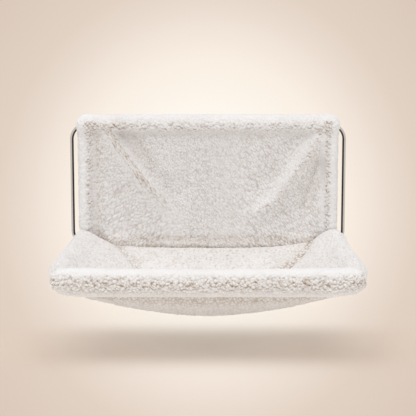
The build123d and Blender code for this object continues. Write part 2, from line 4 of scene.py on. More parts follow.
import bpy
import numpy as np
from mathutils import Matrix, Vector


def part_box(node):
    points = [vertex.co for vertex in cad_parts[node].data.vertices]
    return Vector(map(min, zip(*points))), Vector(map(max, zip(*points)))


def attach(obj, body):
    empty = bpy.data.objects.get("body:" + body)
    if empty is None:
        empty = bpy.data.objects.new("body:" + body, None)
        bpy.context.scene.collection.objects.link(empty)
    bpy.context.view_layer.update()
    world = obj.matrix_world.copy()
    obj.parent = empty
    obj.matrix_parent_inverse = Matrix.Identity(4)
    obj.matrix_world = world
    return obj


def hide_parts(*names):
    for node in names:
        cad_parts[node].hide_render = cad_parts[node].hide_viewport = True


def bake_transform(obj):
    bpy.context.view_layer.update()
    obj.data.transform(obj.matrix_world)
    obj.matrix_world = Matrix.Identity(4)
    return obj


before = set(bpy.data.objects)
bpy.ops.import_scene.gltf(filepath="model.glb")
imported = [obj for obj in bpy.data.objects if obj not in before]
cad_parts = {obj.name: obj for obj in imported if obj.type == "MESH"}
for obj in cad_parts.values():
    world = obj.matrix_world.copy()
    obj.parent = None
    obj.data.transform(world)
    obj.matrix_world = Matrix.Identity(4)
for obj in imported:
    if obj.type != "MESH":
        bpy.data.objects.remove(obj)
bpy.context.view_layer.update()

# A fleece pet bed that hangs on a radiator. Metres; +X to the right, -Y into the room, +Z up.

# Places read from the frame
top_low, top_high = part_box("top_roll_cover")
hem_low, hem_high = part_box("right_side_hem")
lower_low, lower_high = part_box("lower_hem")
roll_low, roll_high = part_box("front_roll_cover")
sleeve_low, sleeve_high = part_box("right_rail_sleeve")
bumper_low, bumper_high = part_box("right_bumper")
arm_low, arm_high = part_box("right_hook_arm")
flap_low, flap_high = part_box("closure_flap")

FRAME_Y = (top_low.y + top_high.y) / 2
TOP_Z = (top_low.z + top_high.z) / 2
TOP_RADIUS = (top_high.z - top_low.z) / 2
HEM_X = (hem_low.x + hem_high.x) / 2
HEM_RADIUS = (hem_high.x - hem_low.x) / 2
LOWER_Z = (lower_low.z + lower_high.z) / 2
LOWER_RADIUS = (lower_high.z - lower_low.z) / 2
BUMPER_X = (bumper_low.x + bumper_high.x) / 2
BUMPER_HALF = (bumper_high.x - bumper_low.x) / 2
ARM_X = (arm_low.x + arm_high.x) / 2
ARM_HALF = (arm_high.x - arm_low.x) / 2
ROLL_Y = (roll_low.y + roll_high.y) / 2
ROLL_Z = (roll_low.z + roll_high.z) / 2
ROLL_RADIUS = (roll_high.z - roll_low.z) / 2
RAIL_Z = ROLL_Z
SLEEVE_RADIUS = (sleeve_high.z - sleeve_low.z) / 2
REAR_RAIL_X = sleeve_low.x + SLEEVE_RADIUS
FRONT_RAIL_X = sleeve_high.x - SLEEVE_RADIUS


# Curves of one value

def clamped(value):
    """A value held between 0 and 1."""
    return np.clip(value, 0, 1)


def ramp(value, start, end):
    """0 up to start and 1 from end on, with a straight rise between them. End may lie below start."""
    return clamped((value - start) / (end - start))


def bell(value, width):
    """A smooth hump of height 1."""
    return np.exp(-((value / width) ** 2))


def faded(share, start, end):
    """A share along a fold turned into a strength that grows at its start and dies out at its end."""
    return clamped(share / start) * clamped((1 - share) / end)


def eased(value, places, heights, spread):
    """A value looked up between places, with the corners of the curve rounded."""
    return sum(np.interp(value + k * spread, places, heights) for k in (-1, -0.5, 0, 0.5, 1)) / 5


def mix(shares, first, second):
    """Two values added up, each with its own share."""
    return shares[0] * first + shares[1] * second


# Noise and tufts

FAR = 9.0                 # farther than any distance that is looked for here
WORD = 0xFFFFFFFF         # the largest number of 32 bits
AXIS_FACTORS = (73856093, 19349663, 83492791)
SEED_FACTOR = 2654435761
SALT_FACTOR = 40503
MIX_FACTOR = 0x45D9F3B
# PILE_UP points towards the light: a tuft that hangs over a place on that side casts painted shade on it
PILE_UP = np.array((0, -0.29, 0.957))   # the way to a tuft that hangs over a place

# Shares of a tuft's size
TUFT_RADIUS = 0.85
TUFT_GAP = 0.32
DRIFT = 0.5
DRIFT_SIZE = 1.5
OVERHANG = 0.42

# Shares of a tuft's full height or of the darkest painted shade between tufts
LOWEST_TUFT = 0.65
PLAIN_GAP = 0.45
HUNG_OVER = 1.1
UPRIGHT_GAP = 1.15


def hashed(cells, seed, salt):
    """A number from 0 to 1 for each whole-number cell."""
    x, y, z = (cells[:, i].astype(np.int64) * factor for i, factor in enumerate(AXIS_FACTORS))
    mixed = (x ^ y ^ z ^ (seed * SEED_FACTOR + salt * SALT_FACTOR)) & WORD
    for _ in range(2):
        mixed ^= mixed >> 16
        mixed = (mixed * MIX_FACTOR) & WORD
    mixed ^= mixed >> 16
    return mixed / WORD


def smooth_noise(points, size, seed):
    """Smooth noise from -1 to 1 with features of the given size."""
    scaled = points / size
    base = np.floor(scaled)
    part = scaled - base
    part = part * part * (3 - 2 * part)
    total = np.zeros(len(points))
    for corner in itertools.product((0, 1), repeat=3):
        weight = np.ones(len(points))
        for i in range(3):
            weight = weight * (part[:, i] if corner[i] else 1 - part[:, i])
        total += weight * hashed(base + corner, seed, 0)
    return 2 * total - 1


def scattered(points, size, seed):
    """Distances to the two nearest of scattered centres, in sizes, and the nearest one's own number."""
    scaled = points / size
    base = np.floor(scaled)
    nearest = np.full(len(points), FAR)
    second = np.full(len(points), FAR)
    own = np.zeros(len(points))
    for offset in itertools.product((-1, 0, 1), repeat=3):
        cell = base + offset
        centre = cell + np.stack([hashed(cell, seed, k) for k in (1, 2, 3)], -1)
        distance = ((scaled - centre) ** 2).sum(-1)
        closer = distance < nearest
        second = np.where(closer, nearest, np.minimum(second, distance))
        nearest[closer] = distance[closer]
        own[closer] = hashed(cell[closer], seed, 4)
    return np.sqrt(nearest), np.sqrt(second), own


def tufts(points, size, seed, along=(0, 0, 0), stretch=1.0):
    """Rounded tufts drawn out along a direction: their height from 0 to 1, and the depth between them, which
    is used as painted shade.
    """
    drift = np.stack([smooth_noise(points, DRIFT_SIZE * size, seed + k) for k in (1, 2, 3)], -1)
    bent = points + DRIFT * size / stretch * drift
    along = np.array(along, float)
    bent = bent - (1 - 1 / stretch) * (bent @ along)[:, None] * along
    near, other, own = scattered(bent, size, seed)
    height = clamped(1 - (near / TUFT_RADIUS) ** 2) * (LOWEST_TUFT + (1 - LOWEST_TUFT) * own)
    return height, 1 - clamped((other - near) / TUFT_GAP)


def pile(points, size, seed, along=(0, 0, 0), stretch=1.0):
    """Tufts, with painted shade between them, darkest where a tuft hangs over a place from the side of the
    light.
    """
    height, gap_shade = tufts(points, size, seed, along, stretch)
    above, _ = tufts(points + OVERHANG * size * PILE_UP, size, seed, along, stretch)
    return height, clamped(PLAIN_GAP * gap_shade + HUNG_OVER * clamped(above - height))


def from_above(up, loss):
    """How much of its painted shade a place between tufts keeps on a face that looks up by this much: faces
    that look up to the light keep less, as painted light.
    """
    return clamped(UPRIGHT_GAP - loss * clamped(up))


# Fields, which are negative inside a shape, and the meshes made from them

def surface_net(field, low, step):
    """A closed quad mesh where the field crosses zero: points and quads.
    Each grid edge that the surface crosses makes one quad between the four cells round it, and each such
    cell has one point, the mean of the crossings on its edges."""
    inside = field < 0
    cells = tuple(n - 1 for n in field.shape)
    total = np.zeros((3, math.prod(cells)))
    count = np.zeros(math.prod(cells))
    corners = []
    for axis in range(3):
        first = [slice(None)] * 3
        second = [slice(None)] * 3
        first[axis] = slice(None, -1)
        second[axis] = slice(1, None)
        crossed = np.argwhere(inside[tuple(first)] != inside[tuple(second)])
        ahead = crossed.copy()
        ahead[:, axis] += 1
        value = field[tuple(crossed.T)]
        other = field[tuple(ahead.T)]
        place = crossed.astype(float)
        place[:, axis] += value / (value - other)
        u, v = (axis + 1) % 3, (axis + 2) % 3
        ring = []
        for du, dv in ((0, 0), (-1, 0), (-1, -1), (0, -1)):
            cell = crossed.copy()
            cell[:, u] += du
            cell[:, v] += dv
            index = np.ravel_multi_index(tuple(cell.T), cells)
            for k in range(3):
                total[k] += np.bincount(index, place[:, k], len(count))
            count += np.bincount(index, minlength=len(count))
            ring.append(index)
        ring = np.stack(ring, -1)
        ring[value > 0] = ring[value > 0][:, ::-1]
        corners.append(ring)
    used = np.flatnonzero(count)
    number = np.full(len(count), -1)
    number[used] = np.arange(len(used))
    points = (total[:, used] / count[used]).T * step + np.array(low)
    return points, number[np.concatenate(corners)]


def normals_of(points, quads):
    """Unit normals at the points of a quad mesh."""
    across = points[quads[:, 2]] - points[quads[:, 0]]
    along = points[quads[:, 3]] - points[quads[:, 1]]
    face = np.cross(across, along)
    total = np.zeros_like(points)
    for k in range(4):
        for i in range(3):
            total[:, i] += np.bincount(quads[:, k], face[:, i], len(points))
    return total / np.linalg.norm(total, axis=1)[:, None]


def sampled(field, low, high, step):
    """The mesh of a field that is given as a function of x, y and z: points, quads and normals."""
    axes = [np.arange(low[i], high[i] + step, step) for i in range(3)]
    x, y, z = np.meshgrid(*axes, indexing="ij", sparse=True)
    points, quads = surface_net(field(x, y, z), [a[0] for a in axes], step)
    return points, quads, normals_of(points, quads)


def soft_min(a, b, width):
    """The smaller of two fields, rounded where they meet."""
    share = clamped(0.5 + 0.5 * (b - a) / width)
    return b + (a - b) * share - width * share * (1 - share)


def soft_max(a, b, width):
    """The larger of two fields, rounded where they meet."""
    return -soft_min(-a, -b, width)


def capsule(x, y, z, start, end, radius):
    """Distance from a rod with round ends."""
    start, end = np.array(start), np.array(end)
    along = end - start
    share = (x - start[0]) * along[0] + (y - start[1]) * along[1] + (z - start[2]) * along[2]
    share = clamped(share / (along @ along))
    dx, dy, dz = (c - start[i] - share * along[i] for i, c in enumerate((x, y, z)))
    return np.sqrt(dx * dx + dy * dy + dz * dz) - radius


def from_line(x, z, line):
    """Distance from a line through points, the side and the share along it. Seen from the front, the side
    is 1 to the left of the way the line runs and -1 to its right."""
    line = np.array(line)
    lengths = np.linalg.norm(np.diff(line, axis=0), axis=1)
    reached = np.concatenate([[0], np.cumsum(lengths)])
    best = np.full(np.broadcast(x, z).shape, FAR)
    side = np.ones_like(best)
    share = np.zeros_like(best)
    for i in range(len(lengths)):
        run = line[i + 1] - line[i]
        t = clamped(((x - line[i][0]) * run[0] + (z - line[i][1]) * run[1]) / (run @ run))
        dx = x - line[i][0] - t * run[0]
        dz = z - line[i][1] - t * run[1]
        distance = np.sqrt(dx * dx + dz * dz)
        closer = distance < best
        best = np.where(closer, distance, best)
        side = np.where(closer, np.sign(dz * run[0] - dx * run[1]), side)
        share = np.where(closer, (reached[i] + t * lengths[i]) / reached[-1], share)
    return best, side, share


def mesh_piece(name, points, quads, gap_shade, material):
    """A smooth shaded object with its painted shade as an attribute: the depth between its tufts, and shade
    in folds, creases and underneath.
    """
    mesh = bpy.data.meshes.new(name)
    mesh.from_pydata(points.tolist(), [], quads.tolist())
    mesh.polygons.foreach_set("use_smooth", np.ones(len(mesh.polygons), bool))
    attribute = mesh.attributes.new("gap_shade", "FLOAT", "POINT")
    attribute.data.foreach_set("value", clamped(gap_shade).astype(np.float32))
    mesh.materials.append(material)
    mesh.update()
    piece = bpy.data.objects.new(name, mesh)
    bpy.context.scene.collection.objects.link(piece)
    return piece


# Materials

class Tree:
    """A node tree, with short ways to add nodes and to feed their inputs."""

    def __init__(self, tree):
        self.tree = tree

    def feed(self, node, inputs):
        """Set inputs, by name or number, to values, or link them to sockets."""
        for key, value in inputs.items():
            if isinstance(value, bpy.types.NodeSocket):
                self.tree.links.new(value, node.inputs[key])
            else:
                node.inputs[key].default_value = value

    def add(self, kind, inputs=None, **settings):
        """The outputs of a new node with these settings and inputs."""
        node = self.tree.nodes.new("ShaderNode" + kind)
        for key, value in settings.items():
            setattr(node, key, value)
        self.feed(node, inputs or {})
        return node.outputs

    def math(self, operation, first, second=None, **settings):
        """The result of a Math node."""
        inputs = {0: first} if second is None else {0: first, 1: second}
        return self.add("Math", inputs, operation=operation, **settings)["Value"]

    def noise(self, place, scale, detail, roughness=0.5):
        """The factor of a noise texture."""
        inputs = {"Vector": place, "Scale": scale, "Detail": detail, "Roughness": roughness}
        return self.add("TexNoise", inputs)["Fac"]

    def mapped(self, value, source, target, **settings):
        """A value taken from one pair of limits to another."""
        limits = dict(zip(("From Min", "From Max", "To Min", "To Max"), (*source, *target)))
        return self.add("MapRange", {"Value": value, **limits}, **settings)["Result"]

    def ramped(self, factor, stops):
        """The colour that a factor picks from a ramp of places and colours."""
        node = self.tree.nodes.new("ShaderNodeValToRGB")
        elements = node.color_ramp.elements
        while len(elements) < len(stops):
            elements.new(0.5)
        for element, (place, colour) in zip(elements, stops):
            element.position = place
            element.color = (*colour, 1)
        self.feed(node, {"Fac": factor})
        return node.outputs["Color"]


def new_material(name):
    """A material, its tree and its shader."""
    material = bpy.data.materials.new(name)
    material.use_nodes = True
    return material, Tree(material.node_tree), material.node_tree.nodes["Principled BSDF"]


# The fleece's pale lit colour and the brown of its painted shade, which the mesh's shade attribute picks
# between
FLEECE_LIT = (0.935, 0.925, 0.925)
FLEECE_SHADE = (0.40, 0.29, 0.20)
FLEECE_MIDDLE = tuple((2 * lit + shade) / 3 for lit, shade in zip(FLEECE_LIT, FLEECE_SHADE))
FLEECE_STOPS = [(0.05, FLEECE_LIT), (0.45, FLEECE_MIDDLE), (1.0, FLEECE_SHADE)]
PATCH_STOPS = [(0.3, (0.95, 0.945, 0.94)), (0.7, (1, 1, 1))]
PATCH_SCALE = 28.0
FLEECE_FINISH = {
    "Roughness": 0.95,
    "Specular IOR Level": 0.1,
    "Sheen Weight": 0.35,
    "Sheen Roughness": 0.4,
    "Sheen Tint": (1, 1, 1, 1),
}
FIBRE_HEIGHT = 0.001
# The wire's painted reflection, from dark on the side that faces the middle of the bed to bright and bluish
# outside
WIRE_REFLECTION_STOPS = [(0.2, (0.045, 0.043, 0.042)), (0.75, (0.78, 0.84, 0.92))]
WIRE_ROUGHNESS = (0.16, 0.3)
WIRE_GRAIN = 900.0
WIRE_GRAIN_STRETCH = (1, 1, 0.02)
WIRE_TURN = (-0.35, 0.3)  # how far the wire's face turns outwards from dark to bright
GRAIN_HEIGHT = 0.0005
ZINC_ROUGHNESS = (0.25, 0.45)
ZINC_CLOUD = 180.0


def fleece(name, fibre_scale, bump):
    """Curly teddy fleece: pale tufts with painted shade in brown between and under them, from the mesh's
    shade attribute, and fine fibres.
    """
    material, tree, shader = new_material(name)
    place = tree.add("TexCoord")["Object"]
    tint = tree.ramped(tree.add("Attribute", attribute_name="gap_shade")["Fac"], FLEECE_STOPS)
    tone = tree.ramped(tree.noise(place, PATCH_SCALE, detail=3.0), PATCH_STOPS)
    mixed = tree.add("Mix", {"Factor": 1, "A": tint, "B": tone}, data_type="RGBA", blend_type="MULTIPLY")
    fibres = tree.noise(place, fibre_scale, detail=4.0, roughness=0.7)
    raised = tree.add("Bump", {"Height": fibres, "Strength": bump, "Distance": FIBRE_HEIGHT})
    tree.feed(shader, {"Base Color": mixed["Result"], "Normal": raised["Normal"], **FLEECE_FINISH})
    return material


def steel_wire(name):
    """Drawn steel wire with a painted reflection: bright on its outer side and dark on the side that faces
    the middle of the bed.
    """
    material, tree, shader = new_material(name)
    place = tree.add("TexCoord")
    side = tree.math("SIGN", tree.add("SeparateXYZ", {"Vector": place["Object"]})["X"])
    facing = tree.add("SeparateXYZ", {"Vector": place["Normal"]})["X"]
    # Painted reflection: dark where the face turns to the middle of the bed, bright where it turns outwards
    outwards = tree.mapped(tree.math("MULTIPLY", facing, side), WIRE_TURN, (0, 1))
    along = tree.add("Mapping", {"Vector": place["Object"], "Scale": WIRE_GRAIN_STRETCH})["Vector"]
    tree.feed(shader, {
        "Base Color": tree.ramped(outwards, WIRE_REFLECTION_STOPS),
        "Roughness": tree.mapped(tree.noise(along, WIRE_GRAIN, detail=2.0), (0, 1), WIRE_ROUGHNESS),
        "Metallic": 1,
    })
    return material


def zinc(name, colour):
    """Zinc plated steel with a faint cloudy spangle."""
    material, tree, shader = new_material(name)
    cloud = tree.noise(tree.add("TexCoord")["Object"], ZINC_CLOUD, detail=5.0, roughness=0.6)
    tree.feed(shader, {
        "Base Color": tree.ramped(cloud, [(0.35, tuple(0.82 * c for c in colour)), (0.65, colour)]),
        "Roughness": tree.mapped(cloud, (0, 1), ZINC_ROUGHNESS),
        "Metallic": 1,
    })
    return material


def plain_grain(name, colour, roughness, scale, bump):
    """Rubber, plastic or close knit with a fine grain."""
    material, tree, shader = new_material(name)
    grain = tree.noise(tree.add("TexCoord")["Object"], scale, detail=4.0)
    raised = tree.add("Bump", {"Height": grain, "Strength": bump, "Distance": GRAIN_HEIGHT})
    tree.feed(shader, {
        "Base Color": tree.ramped(grain, [(0.3, tuple(0.85 * c for c in colour)), (0.7, colour)]),
        "Normal": raised["Normal"],
        "Roughness": roughness,
    })
    return material


plush_curly = fleece("curly_plush", fibre_scale=900.0, bump=0.5)
plush_smooth = fleece("smooth_plush", fibre_scale=1100.0, bump=0.35)
painted_reflection_wire = steel_wire("wire_painted_reflection")
zinc_plate = zinc("zinc_plate", (0.62, 0.61, 0.59))
zinc_bright = zinc("zinc_bright", (0.7, 0.7, 0.69))
rubber = plain_grain("black_rubber", (0.035, 0.035, 0.035), roughness=0.7, scale=1500.0, bump=0.3)
nylon = plain_grain("nylon", (0.8, 0.79, 0.75), roughness=0.45, scale=900.0, bump=0.1)
knit = plain_grain("knit_backing", (0.78, 0.76, 0.73), roughness=0.9, scale=1800.0, bump=0.6)

finishes = {
    "back_frame": painted_reflection_wire,
    "seat_frame": painted_reflection_wire,
    "pivot_bolts": zinc_bright,
    "pivot_nuts": zinc_bright,
    "pivot_washers": nylon,
    "closure_tapes": knit,
}
for side_name in ("left", "right"):
    finishes[f"{side_name}_bracket"] = zinc_plate
    finishes[f"{side_name}_hook_arm"] = zinc_plate
    finishes[f"{side_name}_hook"] = zinc_plate
    finishes[f"{side_name}_clamp_screw"] = zinc_bright
    finishes[f"{side_name}_arm_pad"] = rubber
    finishes[f"{side_name}_hook_tip"] = rubber
    finishes[f"{side_name}_bumper"] = rubber
for node_name, finish in finishes.items():
    for material_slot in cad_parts[node_name].material_slots:
        material_slot.material = finish


# Back cover: top roll, side hems, lower hem and the draped panel, in one closed skin

# Here and below, a pair named _X or _Y is the start and the end of a ramp.

# Points (x, z) of the folds that fall from the top corners towards the middle, and of a hollow beside one
LEFT_FOLD = [(-0.176, 0.018), (-0.162, -0.001), (-0.149, -0.023), (-0.124, -0.058), (-0.107, -0.083),
             (-0.080, -0.112), (-0.062, -0.132)]
RIGHT_FOLD = [(0.196, 0.010), (0.182, -0.011), (0.160, -0.045), (0.138, -0.077), (0.115, -0.113),
              (0.083, -0.139), (0.065, -0.153)]
RIGHT_HOLLOW = [(0.187, -0.036), (0.182, -0.071), (0.165, -0.121), (0.150, -0.148)]

BACK_STEP = 0.0011
BACK_BELOW, BACK_ABOVE = (0.006, 0.034, 0.010), (0.006, 0.024, 0.006)
SKIN_SLACK = 0.0005
PANEL_HALF_THICKNESS = 0.006
PANEL_REAR = FRAME_Y + PANEL_HALF_THICKNESS
PANEL_EDGE_ROUND = 0.004
PANEL_BLEND = 0.006
HEM_BLEND = 0.012
SLOT_ROUND = 0.001
BUMPER_GAP = 0.0005
BUMPER_RELIEF = 0.0006
ARM_SLOT_Z = 0.0063
ARM_SLOT_HALF = 0.0058

LEFT_RIDGE, LEFT_RIDGE_STEEP, LEFT_RIDGE_BROAD = 0.0100, 0.009, 0.030
LEFT_GROOVE, LEFT_GROOVE_OFFSET, LEFT_GROOVE_WIDTH = 0.0032, 0.0015, 0.0028
LEFT_HOLLOW, LEFT_HOLLOW_OFFSET, LEFT_HOLLOW_WIDTH = 0.0095, 0.022, 0.014
RIGHT_RIDGE, RIGHT_RIDGE_STEEP, RIGHT_RIDGE_BROAD = 0.0125, 0.012, 0.019
RIGHT_DIP, RIGHT_DIP_OFFSET, RIGHT_DIP_WIDTH = 0.0045, 0.032, 0.016
RIGHT_HOLLOW_DEPTH, RIGHT_HOLLOW_WIDTH = 0.0085, 0.011
LEFT_TUCK, LEFT_TUCK_X, LEFT_TUCK_WIDTH = 0.0045, -0.186, 0.012
RIGHT_TUCK, RIGHT_TUCK_X, RIGHT_TUCK_WIDTH = 0.0025, 0.190, 0.008
BULGE, BULGE_HALF, BULGE_SIDE, BULGE_RISE = 0.0054, 0.011, 0.012, 0.010
SAG, SAG_X, SAG_Z, SAG_WIDTH, SAG_HEIGHT = 0.002, 0.02, -0.07, 0.09, 0.07

# Shares of a fold's, hollow's or mark's length over which it grows at its start and dies out at its end
LEFT_FOLD_ENDS, RIGHT_FOLD_ENDS = (0.15, 0.45), (0.12, 0.4)
LEFT_HOLLOW_ENDS, RIGHT_HOLLOW_ENDS = (0.1, 0.75), (0.2, 0.3)
LEFT_MARK_ENDS, RIGHT_MARK_ENDS = (0.1, 0.35), (0.12, 0.2)

# Pile: tuft sizes, heights, and the directions of its strokes
LARGE_TUFT = 0.0050
PANEL_TUFT = 0.0032
HEM_TUFT = 0.0034
BACK_GRAIN = 0.0030
REAR_PILE = 0.0010
PANEL_PILE = 0.0021
BOLD_PILE = 0.0014
RISING, FALLING, HANGING = (0.77, 0, 0.64), (0.62, 0, -0.78), (0.3, 0, -0.95)
STROKE, SHORT_STROKE = 2.8, 1.3
RISING_X = (-0.03, -0.08)
FALLING_X = (0, 0.07)
STROKE_TURN = 0.012

# Marks in the pile, most of them painted shade: the folds' lines and crests, the seams beside the hems, and
# the panel's foot
# The left fold's two ragged lines of painted shade
LINE_WIDTH = 0.0016
SECOND_LINE, SECOND_LINE_OFFSET, SECOND_LINE_WIDTH = 0.7, 0.0042, 0.0015
RAGGED, RAGGED_SIZE = 0.0020, 0.008
LEFT_CREST_WIDTH = 0.005
WANDER, WANDER_SIZE = 0.006, 0.022
# The right fold's dotted crest, which gets painted shade, and its soft band, which gets less of it as painted
# light
DOTTED_OFFSET, DOTTED_WIDTH = 0.001, 0.0048
SOFT_OFFSET, SOFT_WIDTH = 0.011, 0.009
# Where the hems' pile begins, and where their outer sides begin; the hems keep less painted shade, as painted
# light from the sides
HEM_PILE_X = (0.184, 0.192)
HEM_SIDE_X = (0.203, 0.209)
# ROLL_DROP and ROLL_WIDTH place the band of bold curls under the top roll, which gets painted shade
ROLL_DROP, ROLL_WIDTH = 0.002, 0.012
# The seams: the creases beside the hems, with bold curls and dots of painted shade
LEFT_SEAM_X, LEFT_SEAM_WIDTH = -0.1965, 0.0080
RIGHT_SEAM, RIGHT_SEAM_X, RIGHT_SEAM_WIDTH = 1.3, 0.198, 0.006
SEAM_END = 0.008
# Width of the painted shade in the tuck beside the left hem
TUCK_MARK_WIDTH = 0.010
# The painted shadow on the panel's foot, just above the seat's rear wall
FOOT_RISE, FOOT_WIDTH = 0.005, 0.006

# Shares of large and small tufts, and how dark the painted shade in the gaps and marks looks
CURL_HEIGHTS = (0.7, 0.3)
CURL_GAPS, CURL_GAP_CURVE = (0.55, 0.45), 1.7
PANEL_GAP_CURVE = 1.5
CREST_BOLDNESS = 0.5
PLAIN_DARK, CURL_DARK, ROLL_DARK = 0.60, 0.70, 1.10
MARK_DARK, DOTTED_GAPS, LINE_GAPS = 0.75, (0.6, 0.4), (0.25, 0.9)
HOLLOW_MARK, TUCK_MARK = 0.9, 0.8
DIP_DARK, FOOT_DARK = 0.20, 0.22
# How much painted shade is taken away, as painted light, on the hems, on the right fold's soft band, on the
# hems' outer sides and on faces that look up
HEM_LOSS, SOFT_LOSS, HEM_SIDE_LOSS, BACK_UP_LOSS = 0.95, 0.4, 0.7, 0.8
REAR_HEIGHT, REAR_DARK = 0.3, 0.25
FALLING_AT_FOLD = 0.8
LEAST_WEIGHT = 0.01


def left_hollow(distance, side, share):
    """How far each place lies in the hollow on the inner side of the left fold, from 0 to 1."""
    inner = (side > 0) * bell(distance - LEFT_HOLLOW_OFFSET, LEFT_HOLLOW_WIDTH)
    return faded(share, *LEFT_HOLLOW_ENDS) * inner


def right_hollow(x, z):
    """How far each place lies in the hollow between the right fold and the right hem, from 0 to 1."""
    distance, _, share = from_line(x, z, RIGHT_HOLLOW)
    return faded(share, *RIGHT_HOLLOW_ENDS) * bell(distance, RIGHT_HOLLOW_WIDTH)


def drape(x, z):
    """How far the panel's front stands out: folds, hollows, tucks at the hems and bulges at the bumpers."""
    distance, side, share = from_line(x, z, LEFT_FOLD)
    ridge = LEFT_RIDGE * bell(distance, np.where(side > 0, LEFT_RIDGE_STEEP, LEFT_RIDGE_BROAD))
    groove = LEFT_GROOVE * bell(distance - LEFT_GROOVE_OFFSET * side, LEFT_GROOVE_WIDTH)
    out = faded(share, *LEFT_FOLD_ENDS) * (ridge - groove)
    out -= LEFT_HOLLOW * left_hollow(distance, side, share)
    distance, side, share = from_line(x, z, RIGHT_FOLD)
    ridge = RIGHT_RIDGE * bell(distance, np.where(side > 0, RIGHT_RIDGE_BROAD, RIGHT_RIDGE_STEEP))
    dip = RIGHT_DIP * (side < 0) * bell(distance - RIGHT_DIP_OFFSET, RIGHT_DIP_WIDTH)
    out += faded(share, *RIGHT_FOLD_ENDS) * (ridge - dip)
    out -= RIGHT_HOLLOW_DEPTH * right_hollow(x, z)
    out -= LEFT_TUCK * bell(x - LEFT_TUCK_X, LEFT_TUCK_WIDTH)
    out -= RIGHT_TUCK * bell(x - RIGHT_TUCK_X, RIGHT_TUCK_WIDTH)
    beside = np.maximum(np.abs(np.abs(x) - BUMPER_X) - BULGE_HALF, 0)
    out += BULGE * bell(beside, BULGE_SIDE) * bell(np.maximum(z - bumper_high.z, 0), BULGE_RISE)
    return out - SAG * bell(x - SAG_X, SAG_WIDTH) * bell(z - SAG_Z, SAG_HEIGHT)


def back_field(x, y, z):
    """Field of the back cover."""
    top_end = HEM_X + HEM_RADIUS - TOP_RADIUS
    left_end, right_end = (-top_end, FRAME_Y, TOP_Z), (top_end, FRAME_Y, TOP_Z)
    field = capsule(x, y, z, left_end, right_end, TOP_RADIUS - SKIN_SLACK)
    for hem_x in (-HEM_X, HEM_X):
        foot = (hem_x, FRAME_Y, hem_low.z + HEM_RADIUS)
        field = soft_min(field, capsule(x, y, z, foot, (hem_x, FRAME_Y, TOP_Z), HEM_RADIUS), HEM_BLEND)
    front = FRAME_Y - PANEL_HALF_THICKNESS - drape(x, z)
    panel = np.maximum(front - y, y - PANEL_REAR)
    panel = soft_max(panel, np.abs(x) - HEM_X, PANEL_EDGE_ROUND)
    panel = soft_max(panel, np.maximum(LOWER_Z - z, z - TOP_Z), PANEL_EDGE_ROUND)
    field = soft_min(field, panel, PANEL_BLEND)
    lower_end = lower_high.x - LOWER_RADIUS
    lower = capsule(x, y, z, (-lower_end, FRAME_Y, LOWER_Z), (lower_end, FRAME_Y, LOWER_Z), LOWER_RADIUS)
    field = soft_min(field, lower, PANEL_BLEND)
    bumper = np.maximum(np.abs(np.abs(x) - BUMPER_X) - BUMPER_HALF, z - bumper_high.z - BUMPER_GAP)
    bumper = np.maximum(bumper, bumper_low.y - BUMPER_RELIEF - y)
    field = soft_max(field, -bumper - BUMPER_GAP, SLOT_ROUND)
    slot = np.maximum(np.abs(np.abs(x) - ARM_X) - ARM_HALF, np.abs(z - ARM_SLOT_Z) - ARM_SLOT_HALF)
    slot = np.maximum(slot, arm_low.y - y)
    return soft_max(field, -slot, SLOT_ROUND)


def panel_pile(points):
    """Height and painted shade of the panel's pile: short strokes that run with the drape, with painted shade
    between them.
    """
    x, _, z = points.T
    distance, side, _ = from_line(x, z, LEFT_FOLD)
    near_fold = bell(distance, STROKE_TURN)
    rising = ramp(x, *RISING_X) * (side < 0) * (1 - near_fold)
    falling = np.maximum(ramp(x, *FALLING_X), FALLING_AT_FOLD * near_fold)
    height = np.zeros(len(points))
    gap_shade = np.zeros(len(points))
    for weight, seed, along, stretch in (
        (rising, 41, RISING, STROKE),
        (falling, 42, FALLING, STROKE),
        (1 - rising - falling, 43, HANGING, SHORT_STROKE),
    ):
        used = weight > LEAST_WEIGHT
        one, between = tufts(points[used], PANEL_TUFT, seed, along, stretch)
        height[used] += weight[used] * one
        gap_shade[used] += weight[used] * between ** PANEL_GAP_CURVE
    return height, gap_shade


def left_marks(points):
    """Marks of the left fold, from 0 to 1: two ragged dark lines of painted shade, the hollow beside them,
    which gets painted shade, and the crest, which gets bold curls.
    """
    x, _, z = points.T
    distance, side, share = from_line(x, z, LEFT_FOLD)
    strength = faded(share, *LEFT_MARK_ENDS)
    ragged = distance + RAGGED * smooth_noise(points, RAGGED_SIZE, seed=5)
    lines = bell(ragged, LINE_WIDTH) + SECOND_LINE * bell(ragged - SECOND_LINE_OFFSET, SECOND_LINE_WIDTH)
    crest = bell(distance, LEFT_CREST_WIDTH)
    return lines * strength, left_hollow(distance, side, share), crest * strength


def right_marks(points):
    """Marks of the right fold, from 0 to 1: its wandering dotted crest, which gets painted shade, and the
    soft band inside it, which gets less painted shade as painted light.
    """
    x, _, z = points.T
    distance, side, share = from_line(x, z, RIGHT_FOLD)
    strength = faded(share, *RIGHT_MARK_ENDS)
    wander = WANDER * smooth_noise(points, WANDER_SIZE, seed=6)
    dotted = bell(distance * side + wander - DOTTED_OFFSET, DOTTED_WIDTH)
    soft = bell(distance * side + SOFT_OFFSET, SOFT_WIDTH)
    return dotted * strength, soft * strength


